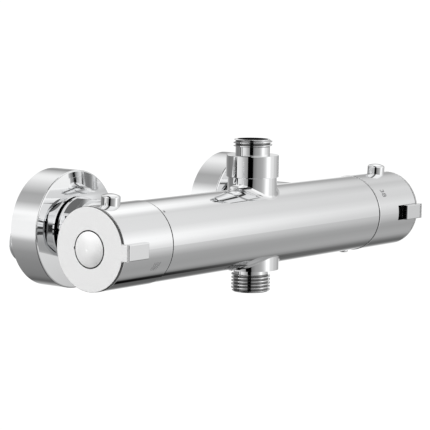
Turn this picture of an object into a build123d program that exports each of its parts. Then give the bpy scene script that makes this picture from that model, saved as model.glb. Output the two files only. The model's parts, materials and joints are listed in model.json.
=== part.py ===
from build123d import *
from math import asin, atan2, cos, degrees, pi, radians, sin
import os

# Exposed bar shower mixer with two outlets, all sizes in millimetres.
# Origin: on the finished wall, midway between the two wall inlets.
# X runs along the bar with the flow handle at minus X, Y goes into the wall, Z is up.

# Place of the bar against the wall
inlet_centres = 150.0
union_offset = 10.0

# Bar and its bosses
bar_radius = 21.0
bar_overhang = 18.0
inlet_boss_radius = 16.6
inlet_boss_reach = 47.0
top_boss_radius = 13.2
top_boss_height = 27.0
bottom_boss_radius = 15.0
bottom_boss_height = 22.6
outlet_bore = 6.5
inlet_bore = 6.5
boss_fillet = 3.0
bottom_boss_fillet = 1.2
edge_break = 0.3

# Waterways in the casting, along the bar from its end face and minus into the bar
centre_bore = 5.0
hot_channel = 3.9
hot_channel_offset = 15.3
outlet_channel = 3.4
outlet_channel_offset = 15.0
outlet_port = 2.4
outlet_port_place = -36.0
nose_bore = 10.3
nose_start = -63.0
gallery_radius = 16.0
hot_gallery_start = -47.0
hot_gallery_end = -35.0
land_radius = 14.0
cold_gallery_start = -26.0
cartridge_seat = -11.0
mixing_mouth = 17.0
flow_mouth = 14.0
flow_bore = 10.2
flow_bore_start = -47.0

# Clearances
slide_clearance = 0.05
turn_clearance = 0.05
fit_clearance = 0.1
free_gap = 0.3

# Threads in British pipe sizes, as plain cylinders over the crests
half_inch_thread = 10.478
three_quarter_thread = 13.22
thread_chamfer = 0.8

# Riser adapter on the top boss
collar_radius = 14.2
collar_length = 11.85
neck_radius = 9.3
top_neck_length = 4.6
top_thread_length = 3.8
top_mouth_radius = 8.3
adapter_screw_radius = 9.5
adapter_screw_length = 8.0
adapter_seal_radius = 11.6
adapter_seal_section = 0.8

# Hose nipple in the bottom boss
nipple_screw_length = 5.1
bottom_neck_length = 2.8
bottom_thread_length = 9.35
nipple_socket = 12.0
nipple_socket_depth = 10.0

# Union parts, as distances from the bar's axis towards the wall
tail_screw_radius = 10.4
tail_screw_length = 12.0
tail_neck_length = 3.0
tail_flange_radius = 12.0
tail_flange_thickness = 2.0
nut_across_flats = 29.0
nut_corner_radius = 16.3
nut_chamfer_slope = 0.6
nut_gap = 1.0
nut_lip_thickness = 2.0
nut_length = 9.2
nut_collar_radius = 17.4
nut_collar_thickness = 1.4
nut_turn = 4.0
nut_to_flange = 0.8
washer_thickness = 1.5
washer_radius = 12.6
washer_bore = 7.2
strainer_thickness = 0.6
strainer_hole = 1.7
strainer_pitch = 4.6
union_screw_length = 13.5
union_blend_length = 7.0
union_blend_radius = 11.6
union_wide_bore = 8.5
union_bore = 7.5
wall_thread_reach = 21.3

# Wall flange
flange_radius = 31.2
flange_depth = 19.0
flange_wall = 1.2
flange_edge = 0.8
flange_crown = 1.3

# Non-return valve in each tail
check_radius = 7.9
check_wall = 1.5
check_length = 13.0
check_depth = 9.0
check_seat_radius = 4.6
check_seat_thickness = 1.5
check_spider_offset = 2.0
check_spider_thickness = 1.5
check_hub_radius = 2.3
check_arm_width = 1.6
poppet_radius = 5.4
poppet_thickness = 1.5
poppet_stem = 1.2
poppet_stem_length = 9.3
check_spring_radius = 2.7
check_spring_wire = 0.35
check_spring_turns = 4

# Handles, the same at both ends, along the bar from its end face
handle_gap = 0.7
sleeve_radius = 21.3
sleeve_wall = 2.3
sleeve_edge = 0.4
handle_end = 40.0
end_disc_thickness = 1.4
end_disc_gap = 0.3
end_disc_hole = 9.35
end_disc_skirt_wall = 1.4
end_disc_skirt_length = 4.4
pry_notch_radius = 0.8
pad_height = 24.2
pad_width = 8.2
button_pad_length = 13.7
flow_pad_length = 15.6
pad_fillet = 0.5
nub_radius = 4.9
nub_side_height = 4.2
nub_dome_height = 1.2
nub_edge = 1.1
nub_from_end = 14.4
nub_lean = 3.0
nub_stud_radius = 2.5
nub_stud_end = 16.9
cap_rim_radius = 9.1
cap_dome_height = 2.0
cap_skirt_outer = 8.7
cap_skirt_wall = 0.9
cap_skirt_length = 3.6

# Hubs that carry the sleeves on the spindles
hub_rim_wall = 1.7
hub_to_stop_ring = 0.5
hub_recess = 6.0
hub_boss_radius = 8.0
hub_web_gap = 0.2
hub_web_thickness = 2.6
hub_cup_radius = 10.4
hub_cup_recess = 3.5
spline_radius = 4.7
spline_depth = 0.5
spline_count = 16
spline_gap = 3.0
spline_length = 11.0
screw_tap_radius = 1.95
screw_head_radius = 4.0
screw_head_height = 2.6
screw_socket = 3.0
screw_socket_depth = 1.6
screw_length = 15.0
tap_depth = 14.0

# Cartridge noses, stop rings and nuts
nose_radius = 8.0
nose_length = 13.0
cap_flange_thickness = 3.0
nut_ring_length = 7.0
nut_ring_bore = 8.6
spanner_notch_width = 4.0
spanner_notch_depth = 2.0
stop_ring_radius = 14.0
stop_ring_thickness = 4.8
stop_sector_height = 3.6
stop_sector_radius = 17.0
cold_travel = 140.0
flow_travel = 90.0
spindle_radius = 4.0
spindle_seal_offset = 5.0
spindle_seal_section = 0.65

# Safety button and its spring
slot_end_room = 1.0
slot_width = 8.4
button_travel = 3.8
button_end_gap = 0.2
button_stem_width = 7.8
button_stem_length = 8.0
button_stem_depth = 12.6
button_arm_width = 6.4
button_arm_thickness = 1.3
tooth_depth = 14.4
tooth_width = 6.0
tooth_length = 3.0
spring_lug_length = 2.5
spring_shelf_start = 9.6
spring_shelf_thickness = 1.8
spring_shelf_width = 5.2
button_spring_depth = 14.6
button_spring_radius = 1.7
button_spring_wire = 0.25
button_spring_turns = 6

# Mixing cartridge, along the bar from its end face and minus into the bar
cartridge_radius = 13.9
cartridge_nose_radius = 10.2
cartridge_nose_start = -59.0
cartridge_nose_lip = 2.5
cartridge_nose_opening = 6.4
cartridge_nose_bore = 7.9
hot_seat = -42.6
hot_seat_thickness = 2.4
hot_seat_bore = 9.4
shuttle_bore = 11.0
cold_seat = -19.5
hot_window_length = 5.4
cold_window_length = 4.8
window_width = 9.0
window_count = 4
cap_skirt_bore = 8.6
collar_cavity = 0.9
collar_play = 0.2
spindle_collar_radius = 7.6
spindle_collar_thickness = 1.6
shuttle_start = -41.0
shuttle_end = -20.0
shuttle_wall = 1.6
shuttle_web_start = -33.0
shuttle_web_thickness = 3.0
shuttle_hole_radius = 1.6
shuttle_hole_place = 6.3
carriage_radius = 8.3
carriage_floor = 1.8
carriage_start = -21.4
carriage_end = -13.0
carriage_key_start = -17.6
carriage_key_width = 3.0
carriage_key_depth = 1.3
carriage_thread = 5.0
spindle_screw_start = -19.2
wax_bulb_radius = 4.5
wax_bulb_start = -56.0
wax_collar_radius = 5.4
wax_collar_start = -37.0
wax_stem_radius = 3.0
wax_stem_end = -27.0
wax_pin_radius = 1.4
return_spring_radius = 7.0
return_spring_wire = 0.6
return_spring_turns = 6
middle_seal_place = -30.5
middle_seal_section = 0.85
nose_seal_place = -53.0
nose_seal_section = 0.6
cap_seal_section = 0.7
shuttle_seal_section = 0.5

# Flow cartridge that opens one outlet or the other, placed in the same way
flow_cartridge_radius = 10.1
flow_base_start = -46.0
flow_disc_start = -31.0
flow_disc_radius = 8.3
fixed_disc_thickness = 3.0
moving_disc_thickness = 3.0
disc_inlet_radius = 2.4
disc_outlet_radius = 1.9
disc_outlet_place = 5.6
disc_slot_depth = 1.5
drive_key_height = 1.0
drive_key_width = 2.0
drive_key_length = 12.0
flow_housing_bore = 8.4
flow_housing_top = -17.0
base_seal_place = -42.5
base_seal_section = 0.6
housing_seal_place = -21.0
housing_seal_section = 0.45

# Locating screw under the bar, placed in the same way
locating_screw_place = -4.3
locating_screw_radius = 1.5
locating_screw_head = 2.5
locating_screw_stand = 1.1

# Values worked out from the ones above
bar_height = union_offset
bar_distance = inlet_boss_reach + nut_gap + nut_length + nut_to_flange + flange_depth
bar_middle = (0, -bar_distance, bar_height)
inlet_place = inlet_centres / 2
bar_half = inlet_place + bar_overhang
sleeve_bore = sleeve_radius - sleeve_wall
hub_radius = sleeve_bore - fit_clearance
disc_start = handle_end - end_disc_thickness
end_disc_radius = sleeve_radius - edge_break / 2
end_disc_skirt_radius = sleeve_bore - 2 * fit_clearance
sleeve_end = disc_start - end_disc_gap
nub_place = handle_end - nub_from_end
flow_pad_start = disc_start - flow_pad_length
pad_end = disc_start - button_end_gap
pad_start = pad_end - button_pad_length
stem_start = pad_start + free_gap
slot_start = pad_start - button_travel - slot_end_room
spring_lug_start = stem_start - spring_lug_length
tail_flange_start = inlet_boss_reach + tail_neck_length
tail_end = tail_flange_start + tail_flange_thickness
washer_end = tail_end + washer_thickness
union_screw_end = washer_end + union_screw_length
union_blend_end = union_screw_end + union_blend_length
cap_flange_end = cartridge_seat + cap_flange_thickness
cartridge_nut_end = cap_flange_end + nut_ring_length
nose_end = cap_flange_end + nose_length
spindle_seal_place = cap_flange_end + spindle_seal_offset
stop_ring_start = cartridge_nut_end + 2 * free_gap
stop_sector_start = stop_ring_start + stop_ring_thickness
stop_sector_end = stop_sector_start + stop_sector_height
tooth_start = stop_sector_start + 2 * free_gap
spline_start = nose_end + spline_gap
spline_end = spline_start + spline_length
hub_start = stop_sector_end + hub_to_stop_ring
hub_end = handle_end - hub_recess
hub_web_start = spline_end + hub_web_gap
hub_web_end = hub_web_start + hub_web_thickness
hub_cup_end = handle_end - hub_cup_recess
moving_disc_start = flow_disc_start + fixed_disc_thickness
driver_start = moving_disc_start + moving_disc_thickness
shuttle_web_middle = shuttle_web_start + shuttle_web_thickness / 2
check_start = inlet_boss_reach - check_depth
check_spider_start = check_start + check_spider_offset
check_spider_end = check_spider_start + check_spider_thickness
check_seat_start = check_start + check_length - check_seat_thickness
poppet_start = check_seat_start - fit_clearance - poppet_thickness

# Working frames: local Z runs outward, at each end from the end face and elsewhere from the bar's middle
right_end = Plane(origin=(bar_half, -bar_distance, bar_height), x_dir=(0, -1, 0), z_dir=(1, 0, 0))
left_end = Plane(origin=(-bar_half, -bar_distance, bar_height), x_dir=(0, -1, 0), z_dir=(-1, 0, 0))
top_side = Plane(origin=bar_middle, x_dir=(1, 0, 0), z_dir=(0, 0, 1))
bottom_side = Plane(origin=bar_middle, x_dir=(1, 0, 0), z_dir=(0, 0, -1))
inlet_frames = {
    "left": Plane(origin=(-inlet_place, -bar_distance, bar_height), x_dir=(1, 0, 0), z_dir=(0, 1, 0)),
    "right": Plane(origin=(inlet_place, -bar_distance, bar_height), x_dir=(1, 0, 0), z_dir=(0, 1, 0)),
}
locating_screw_frame = bottom_side * Pos(bar_half + locating_screw_place, 0, 0)

nodes = {}


def rod(radius, start, end):
    """A round bar about local Z."""
    return Pos(0, 0, start) * Cylinder(radius, end - start, align=(Align.CENTER, Align.CENTER, Align.MIN))


def ring(outer, inner, start, end):
    """A round tube about local Z."""
    return rod(outer, start, end) - rod(inner, start, end)


def block(x_span, y_width, z_span):
    """A box from X to X and Z to Z, centred across Y."""
    size = Box(x_span[1] - x_span[0], y_width, z_span[1] - z_span[0])
    return Pos(sum(x_span) / 2, 0, sum(z_span) / 2) * size


def turned(*points):
    """A solid of revolution about local Z from points of radius and height."""
    return revolve(make_face(Plane.XZ * Polyline(*points, close=True)), Axis.Z)


def round_seal(outer, section, place):
    """A rubber ring of round section that touches a bore of the outer radius."""
    return Pos(0, 0, place) * Torus(outer - section, section)


def seal_groove(outer, section, place):
    """The groove that holds such a ring, cut from outside."""
    return ring(outer + section, outer - 2 * section, place - section, place + section)


def domed(radius, foot, side_top, dome_height):
    """A round head about local Z with straight sides and a crown struck from one centre on its axis."""
    crown_radius = (radius**2 + dome_height**2) / (2 * dome_height)
    half_angle = asin(radius / crown_radius) / 2
    crown_top = side_top + dome_height
    middle = (crown_radius * sin(half_angle), crown_top - crown_radius * (1 - cos(half_angle)))
    outline = Polyline((0, crown_top), (0, foot), (radius, foot), (radius, side_top))
    outline += ThreePointArc((radius, side_top), middle, (0, crown_top))
    return revolve(make_face(Plane.XZ * outline), Axis.Z)


def coil_spring(mean_radius, wire_radius, start, end, turns):
    """A helical compression spring about local Z."""
    height = end - start - 2 * wire_radius
    path = Helix(height / turns, height, mean_radius)
    wire = sweep(Plane(origin=path @ 0, z_dir=path % 0) * Circle(wire_radius), path, is_frenet=True)
    return Pos(0, 0, start + wire_radius) * wire


def hexagon(across_flats, start, end):
    """A hexagonal bar about local Z with two of its corners on local Y."""
    profile = RegularPolygon(across_flats / 2, 6, major_radius=False, rotation=30)
    return Pos(0, 0, start) * extrude(profile, end - start)


def spline_bar(radius, start, end):
    """A toothed bar about local Z that turns a hub."""
    points = []
    for step in range(2 * spline_count):
        reach = radius - spline_depth * (step % 2)
        angle = pi * step / spline_count
        points.append((reach * cos(angle), reach * sin(angle)))
    return Pos(0, 0, start) * extrude(make_face(Polyline(*points, close=True)), end - start)


def valve_body():
    """Brass casting: the bar, its four bosses and the waterways inside."""
    body = right_end * rod(bar_radius, -2 * bar_half, 0)
    body += top_side * rod(top_boss_radius, 0, top_boss_height)
    body = fillet(body.edges().filter_by(GeomType.BSPLINE), boss_fillet)
    body += bottom_side * rod(bottom_boss_radius, 0, bottom_boss_height)
    body = fillet(body.edges().filter_by(GeomType.BSPLINE).sort_by(Axis.Z)[0], bottom_boss_fillet)
    for frame in inlet_frames.values():
        body += frame * rod(inlet_boss_radius, 0, inlet_boss_reach)
    centre_bore_start = -2 * bar_half - flow_bore_start
    body -= right_end * turned(
        (0, centre_bore_start),
        (centre_bore, centre_bore_start),
        (centre_bore, nose_start),
        (nose_bore, nose_start),
        (nose_bore, hot_gallery_start),
        (gallery_radius, hot_gallery_start),
        (gallery_radius, hot_gallery_end),
        (land_radius, hot_gallery_end),
        (land_radius, cold_gallery_start),
        (gallery_radius, cold_gallery_start),
        (gallery_radius, cartridge_seat),
        (mixing_mouth, cartridge_seat),
        (mixing_mouth, 0),
        (0, 0),
    )
    body -= left_end * turned(
        (0, flow_bore_start),
        (flow_bore, flow_bore_start),
        (flow_bore, cartridge_seat),
        (flow_mouth, cartridge_seat),
        (flow_mouth, 0),
        (0, 0),
    )
    hot_end = (hot_gallery_start + hot_gallery_end) / 2
    hot_start = -bar_half - inlet_place - hot_channel
    body -= right_end * Pos(-hot_channel_offset, 0, 0) * rod(hot_channel, hot_start, hot_end)
    body -= inlet_frames["left"] * rod(inlet_bore, hot_channel_offset, inlet_boss_reach)
    body -= inlet_frames["right"] * rod(inlet_bore, land_radius, inlet_boss_reach)
    for frame in inlet_frames.values():
        body -= frame * rod(tail_screw_radius, inlet_boss_reach - tail_screw_length, inlet_boss_reach)
    channel_end = outlet_port_place + outlet_channel
    for side, side_sign, height in ((top_side, 1, top_boss_height), (bottom_side, -1, bottom_boss_height)):
        channel_frame = left_end * Pos(0, side_sign * outlet_channel_offset, 0)
        body -= channel_frame * rod(outlet_channel, -bar_half, channel_end)
        port_frame = side * Pos(-bar_half - outlet_port_place, 0, 0)
        body -= port_frame * rod(outlet_port, 0, outlet_channel_offset)
        body -= side * rod(outlet_bore, outlet_channel_offset, height)
    body -= top_side * rod(adapter_screw_radius, top_boss_height - adapter_screw_length, top_boss_height)
    nipple_bore_start = bottom_boss_height - nipple_screw_length
    body -= bottom_side * rod(adapter_screw_radius, nipple_bore_start, bottom_boss_height)
    body -= locating_screw_frame * rod(locating_screw_radius, mixing_mouth - free_gap, bar_radius)
    return body


def riser_adapter():
    """Turned collar with the upper hose thread, screwed into the top boss."""
    collar_end = top_boss_height + collar_length
    thread_start = collar_end + top_neck_length
    thread_end = thread_start + top_thread_length
    adapter = turned(
        (outlet_bore, top_boss_height - adapter_screw_length),
        (adapter_screw_radius, top_boss_height - adapter_screw_length),
        (adapter_screw_radius, top_boss_height),
        (collar_radius - edge_break, top_boss_height),
        (collar_radius, top_boss_height + edge_break),
        (collar_radius, collar_end - edge_break),
        (collar_radius - edge_break, collar_end),
        (neck_radius, collar_end),
        (neck_radius, thread_start),
        (half_inch_thread, thread_start),
        (half_inch_thread, thread_end - thread_chamfer),
        (half_inch_thread - thread_chamfer, thread_end),
        (top_mouth_radius, thread_end),
        (top_mouth_radius, collar_end),
        (outlet_bore, collar_end - (top_mouth_radius - outlet_bore)),
    )
    groove_inner = adapter_seal_radius - adapter_seal_section
    groove_outer = adapter_seal_radius + adapter_seal_section
    groove_top = top_boss_height + 2 * adapter_seal_section
    return adapter - ring(groove_outer, groove_inner, top_boss_height, groove_top)


def hose_nipple():
    """Threaded brass nipple under the bar, with a key socket in its mouth."""
    thread_start = bottom_boss_height + bottom_neck_length
    thread_end = thread_start + bottom_thread_length
    nipple = turned(
        (0, bottom_boss_height - nipple_screw_length),
        (adapter_screw_radius, bottom_boss_height - nipple_screw_length),
        (adapter_screw_radius, bottom_boss_height),
        (neck_radius, bottom_boss_height),
        (neck_radius, thread_start),
        (half_inch_thread, thread_start),
        (half_inch_thread, thread_end - thread_chamfer),
        (half_inch_thread - thread_chamfer, thread_end),
        (0, thread_end),
    )
    nipple -= hexagon(nipple_socket, thread_end - nipple_socket_depth, thread_end)
    return nipple - rod(nipple_socket / 2, 0, thread_end)


def inlet_tail():
    """Brass bush screwed into a rear boss; its flange holds the union nut captive."""
    start = inlet_boss_reach - tail_screw_length
    return turned(
        (inlet_bore, start),
        (tail_screw_radius, start),
        (tail_screw_radius, tail_flange_start),
        (tail_flange_radius, tail_flange_start),
        (tail_flange_radius, tail_end),
        (check_radius + slide_clearance, tail_end),
        (check_radius + slide_clearance, check_start),
        (inlet_bore, check_start),
    )


def union_nut():
    """Hexagon nut with an inner lip, chamfered at the front, with a round collar at the wall side."""
    start = inlet_boss_reach + nut_gap
    end = start + nut_length
    collar_start = end - nut_collar_thickness
    chamfer_height = (nut_corner_radius - nut_across_flats / 2) * nut_chamfer_slope
    envelope = turned(
        (0, start),
        (nut_across_flats / 2, start),
        (nut_corner_radius, start + chamfer_height),
        (nut_corner_radius, collar_start),
        (nut_collar_radius - edge_break, collar_start),
        (nut_collar_radius, collar_start + edge_break),
        (nut_collar_radius, end),
        (0, end),
    )
    nut = Rot(0, 0, nut_turn) * hexagon(nut_across_flats, start, collar_start) & envelope
    nut += envelope - rod(nut_collar_radius, start, collar_start)
    nut -= rod(tail_screw_radius + fit_clearance, start, end)
    return nut - rod(three_quarter_thread + slide_clearance, start + nut_lip_thickness, end)


def filter_washer():
    """Rubber washer with a strainer plate moulded in."""
    washer = ring(washer_radius, washer_bore, tail_end, washer_end)
    middle = (tail_end + washer_end) / 2
    plate = rod(washer_bore, middle - strainer_thickness / 2, middle + strainer_thickness / 2)
    holes = [Pos(0, 0, 0)] + list(PolarLocations(strainer_pitch, 6))
    for place in holes:
        plate -= place * rod(strainer_hole, tail_end, washer_end)
    return washer + plate


def eccentric_union():
    """Offset brass connector: wide thread at the nut, narrow thread into the wall."""
    shift = Pos(0, union_offset, 0)
    end = bar_distance + wall_thread_reach
    wide_end = Pos(0, 0, union_screw_end)
    narrow_start = Pos(0, union_offset, union_blend_end)
    union = rod(three_quarter_thread, washer_end, union_screw_end)
    union += loft([wide_end * Circle(three_quarter_thread), narrow_start * Circle(union_blend_radius)])
    union += shift * rod(half_inch_thread, union_blend_end, end)
    union -= rod(union_wide_bore, washer_end, union_screw_end)
    union -= loft([wide_end * Circle(union_wide_bore), narrow_start * Circle(union_bore)])
    return union - shift * rod(union_bore, union_blend_end, end)


def wall_flange():
    """Drawn brass cup with a slightly crowned front that hides the union; its open rim lies on the wall."""
    crown_foot = flange_depth - flange_crown
    cup = domed(flange_radius, 0, crown_foot, flange_crown)
    cup = fillet(cup.edges().filter_by(Plane.XY).sort_by(Axis.Z)[-1], flange_edge)
    cup -= domed(flange_radius - flange_wall, 0, crown_foot - flange_wall, flange_crown)
    cup -= rod(three_quarter_thread + fit_clearance, 0, flange_depth)
    return Pos(0, 0, bar_distance) * Rot(180, 0, 0) * cup


def check_housing():
    """Plastic non-return cartridge with a seat and a three-armed guide."""
    end = check_start + check_length
    inner = check_radius - check_wall
    housing = ring(check_radius, inner, check_start, end)
    housing += ring(inner, check_seat_radius, check_seat_start, end)
    guide = rod(check_hub_radius, check_spider_start, check_spider_end)
    for place in PolarLocations(0, 3):
        arm = block((0, inner + check_wall / 2), check_arm_width, (check_spider_start, check_spider_end))
        guide += place * arm
    return housing + guide - rod(poppet_stem + slide_clearance, check_spider_start, check_spider_end)


def check_poppet():
    """Poppet with its stem, closed against the seat by the spring."""
    head = turned(
        (0, poppet_start),
        (poppet_radius, poppet_start),
        (poppet_radius, poppet_start + poppet_thickness / 2),
        (check_seat_radius, poppet_start + poppet_thickness),
        (0, poppet_start + poppet_thickness),
    )
    return head + rod(poppet_stem, poppet_start - poppet_stem_length, poppet_start)


def mixing_housing():
    """Plastic cartridge body with hot and cold windows and a long nose."""
    housing = turned(
        (cartridge_nose_opening, cartridge_nose_start),
        (cartridge_nose_radius, cartridge_nose_start),
        (cartridge_nose_radius, hot_gallery_start + edge_break),
        (cartridge_radius, hot_gallery_start + edge_break),
        (cartridge_radius, cartridge_seat),
        (shuttle_bore, cartridge_seat),
        (shuttle_bore, hot_seat),
        (hot_seat_bore, hot_seat),
        (hot_seat_bore, hot_seat - hot_seat_thickness),
        (cartridge_nose_bore, hot_seat - hot_seat_thickness),
        (cartridge_nose_bore, cartridge_nose_start + cartridge_nose_lip),
        (cartridge_nose_opening, cartridge_nose_start + cartridge_nose_lip),
    )
    window_reach = (shuttle_bore - edge_break, cartridge_radius + edge_break)
    hot_window = block(window_reach, window_width, (hot_seat, hot_seat + hot_window_length))
    cold_window = block(window_reach, window_width, (cold_seat - cold_window_length, cold_seat))
    for place in PolarLocations(0, window_count):
        housing -= place * hot_window
        housing -= place * cold_window
    housing -= seal_groove(land_radius, middle_seal_section, middle_seal_place)
    return housing - seal_groove(nose_bore, nose_seal_section, nose_seal_place)


def mixing_cap():
    """Brass cartridge cap: cold seat below, flange in the mouth, nose for the spindle."""
    cavity_end = cartridge_seat + collar_cavity
    cap = turned(
        (cap_skirt_bore, cold_seat),
        (shuttle_bore - slide_clearance, cold_seat),
        (shuttle_bore - slide_clearance, cartridge_seat),
        (mixing_mouth - fit_clearance, cartridge_seat),
        (mixing_mouth - fit_clearance, cap_flange_end),
        (nose_radius, cap_flange_end),
        (nose_radius, nose_end),
        (spindle_radius + turn_clearance, nose_end),
        (spindle_radius + turn_clearance, cavity_end),
        (cap_skirt_bore, cavity_end),
    )
    key_reach = carriage_radius + carriage_key_depth + fit_clearance
    key_width = carriage_key_width + 2 * fit_clearance
    cap -= block((-key_reach, key_reach), key_width, (cold_seat, cartridge_seat))
    cap -= seal_groove(mixing_mouth, cap_seal_section, (cartridge_seat + cap_flange_end) / 2)
    return cap - spindle_seal_groove()


def spindle_seal_groove():
    """Inner groove for the spindle's ring, cut from the bore."""
    outer = spindle_radius + 2 * spindle_seal_section
    start = spindle_seal_place - spindle_seal_section
    end = spindle_seal_place + spindle_seal_section
    return rod(outer, start, end)


def spindle_seal():
    """Rubber ring round a spindle."""
    return Pos(0, 0, spindle_seal_place) * Torus(spindle_radius + spindle_seal_section, spindle_seal_section)


def cartridge_nut(mouth):
    """Brass ring that holds a cartridge in its mouth, with spanner notches."""
    end = cartridge_nut_end
    nut = ring(mouth - fit_clearance, nut_ring_bore, cap_flange_end, end)
    notch_inner = nut_ring_bore - edge_break
    notch_outer = nut_ring_bore + spanner_notch_depth
    notch = block((notch_inner, notch_outer), spanner_notch_width, (end - spanner_notch_depth, end))
    for place in PolarLocations(0, 4):
        nut -= place * notch
    return nut


def stop_ring(first_angle, last_angle):
    """Plastic ring on a cartridge nose with a raised sector that limits the handle."""
    base = ring(stop_ring_radius, nose_radius + fit_clearance, stop_ring_start, stop_sector_start)
    sector = Cylinder(stop_sector_radius, stop_sector_height, arc_size=last_angle - first_angle, align=None)
    sector = Pos(0, 0, stop_sector_start) * Rot(0, 0, first_angle) * sector
    sector -= rod(nose_radius + fit_clearance, stop_ring_start, stop_sector_end)
    return base + sector


def mixing_spindle():
    """Brass spindle whose coarse screw moves the carriage."""
    collar_end = cartridge_seat + collar_cavity - collar_play
    collar_start = collar_end - spindle_collar_thickness
    spindle = rod(carriage_thread, spindle_screw_start, collar_start)
    spindle += rod(spindle_collar_radius, collar_start, collar_end)
    spindle += rod(spindle_radius, collar_end, spline_start)
    spindle += spline_bar(spline_radius, spline_start, spline_end)
    return spindle - rod(screw_tap_radius, spline_end - tap_depth, spline_end)


def adjusting_carriage():
    """Brass cup on the spindle's screw; two keys stop it from turning."""
    carriage = rod(carriage_radius, carriage_start, carriage_end)
    key_reach = carriage_radius + carriage_key_depth
    carriage += block((-key_reach, key_reach), carriage_key_width, (carriage_key_start, carriage_end))
    return carriage - rod(carriage_thread + turn_clearance, carriage_start + carriage_floor, carriage_end)


def wax_element():
    """Sealed wax element: bulb in the mixed water, collar, stem and pin."""
    element = rod(wax_bulb_radius, wax_bulb_start, wax_collar_start)
    element = fillet(element.edges().sort_by(Axis.Z)[0], wax_bulb_radius / 3)
    element += rod(wax_collar_radius, wax_collar_start, shuttle_web_start)
    element += rod(wax_stem_radius, shuttle_web_start, wax_stem_end)
    return element + rod(wax_pin_radius, wax_stem_end, carriage_start)


def mixing_shuttle():
    """Sleeve that opens hot as it closes cold, with a drilled web."""
    outer = shuttle_bore - slide_clearance
    shuttle = ring(outer, outer - shuttle_wall, shuttle_start, shuttle_end)
    web_end = shuttle_web_start + shuttle_web_thickness
    shuttle += ring(outer, wax_stem_radius + slide_clearance, shuttle_web_start, web_end)
    for place in PolarLocations(shuttle_hole_place, 4):
        shuttle -= place * rod(shuttle_hole_radius, shuttle_web_start, web_end)
    return shuttle - seal_groove(shuttle_bore, shuttle_seal_section, shuttle_web_middle)


def flow_base():
    """Plastic foot of the flow cartridge: one way in, one way to each outlet."""
    base = rod(flow_cartridge_radius, flow_base_start, flow_disc_start)
    base -= rod(disc_inlet_radius, flow_base_start, flow_disc_start)
    for side_sign in (1, -1):
        place = Pos(0, side_sign * disc_outlet_place, 0)
        base -= place * rod(disc_outlet_radius, outlet_port_place, flow_disc_start)
        port = place * Pos(0, 0, outlet_port_place) * Rot(-90 * side_sign, 0, 0)
        base -= port * rod(outlet_port, 0, flow_cartridge_radius)
    return base - seal_groove(flow_bore, base_seal_section, base_seal_place)


def flow_housing():
    """Brass tube of the flow cartridge with its flange and nose."""
    housing = turned(
        (flow_housing_bore, flow_disc_start),
        (flow_cartridge_radius, flow_disc_start),
        (flow_cartridge_radius, cartridge_seat),
        (flow_mouth - fit_clearance, cartridge_seat),
        (flow_mouth - fit_clearance, cap_flange_end),
        (nose_radius, cap_flange_end),
        (nose_radius, nose_end),
        (spindle_radius + turn_clearance, nose_end),
        (spindle_radius + turn_clearance, flow_housing_top),
        (flow_housing_bore, flow_housing_top),
    )
    housing -= seal_groove(flow_bore, housing_seal_section, housing_seal_place)
    return housing - spindle_seal_groove()


def fixed_disc():
    """Fixed ceramic disc with a middle port and two outlet ports."""
    disc = rod(flow_disc_radius, flow_disc_start, moving_disc_start)
    disc -= rod(disc_inlet_radius, flow_disc_start, moving_disc_start)
    for side_sign in (1, -1):
        place = Pos(0, side_sign * disc_outlet_place, 0)
        disc -= place * rod(disc_outlet_radius, flow_disc_start, moving_disc_start)
    return disc


def moving_disc():
    """Turning ceramic disc whose blind slot joins the middle port to one outlet."""
    disc = rod(flow_disc_radius - fit_clearance, moving_disc_start, driver_start)
    slot_reach = (-disc_outlet_radius, disc_outlet_place + disc_outlet_radius)
    slot_heights = (moving_disc_start, moving_disc_start + disc_slot_depth)
    disc -= block(slot_reach, 2 * disc_outlet_radius, slot_heights)
    key_half = drive_key_length / 2
    key_heights = (driver_start - drive_key_height, driver_start)
    return disc - block((-key_half, key_half), drive_key_width, key_heights)


def flow_spindle():
    """Brass spindle with a driver plate keyed into the moving disc."""
    key_half = drive_key_length / 2 - fit_clearance
    spindle = rod(flow_disc_radius - fit_clearance, driver_start, flow_housing_top - collar_play)
    key_heights = (driver_start - drive_key_height + fit_clearance, driver_start)
    spindle += block((-key_half, key_half), drive_key_width - fit_clearance, key_heights)
    spindle += rod(spindle_radius, flow_housing_top - collar_play, spline_start)
    spindle += spline_bar(spline_radius, spline_start, spline_end)
    return spindle - rod(screw_tap_radius, spline_end - tap_depth, spline_end)


def nub_frame(up_sign):
    """Frame of a grip nub: local Z leaves the bar's axis near the top of the handle."""
    lean = radians(nub_lean)
    return Plane(origin=(0, 0, nub_place), x_dir=(0, 0, 1), z_dir=(sin(lean), up_sign * cos(lean), 0))


def hub(up_sign):
    """Plastic carrier: splined boss, web, rim in the sleeve and cup for the screw cap."""
    rim_inner = hub_radius - hub_rim_wall
    carrier = rod(hub_boss_radius, hub_start, hub_web_end)
    carrier += rod(hub_radius, hub_web_start, hub_web_end)
    carrier += ring(hub_radius, rim_inner, hub_start, hub_end)
    carrier += ring(hub_cup_radius, cap_skirt_outer + fit_clearance, hub_web_end, hub_cup_end)
    carrier -= spline_bar(spline_radius + turn_clearance, hub_start, hub_web_start)
    carrier -= rod(screw_tap_radius + fit_clearance, hub_web_start, hub_web_end)
    return carrier - nub_frame(up_sign) * rod(nub_stud_radius + free_gap, rim_inner - 1, hub_radius + 1)


def temperature_hub():
    """Hub with a front slot for the safety button and a shelf for its spring."""
    carrier = hub(-1)
    slot = button_stem_width + 2 * free_gap
    carrier -= block((tooth_depth, hub_radius + 1), slot, (hub_start, hub_end))
    carrier -= block((hub_cup_radius + 1, hub_radius + 1), slot, (hub_web_start, hub_web_end))
    shelf_end = button_spring_depth + button_spring_radius + button_spring_wire
    shelf_heights = (spring_shelf_start, spring_shelf_start + spring_shelf_thickness)
    return carrier + block((hub_boss_radius - 1, shelf_end), spring_shelf_width, shelf_heights)


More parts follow.
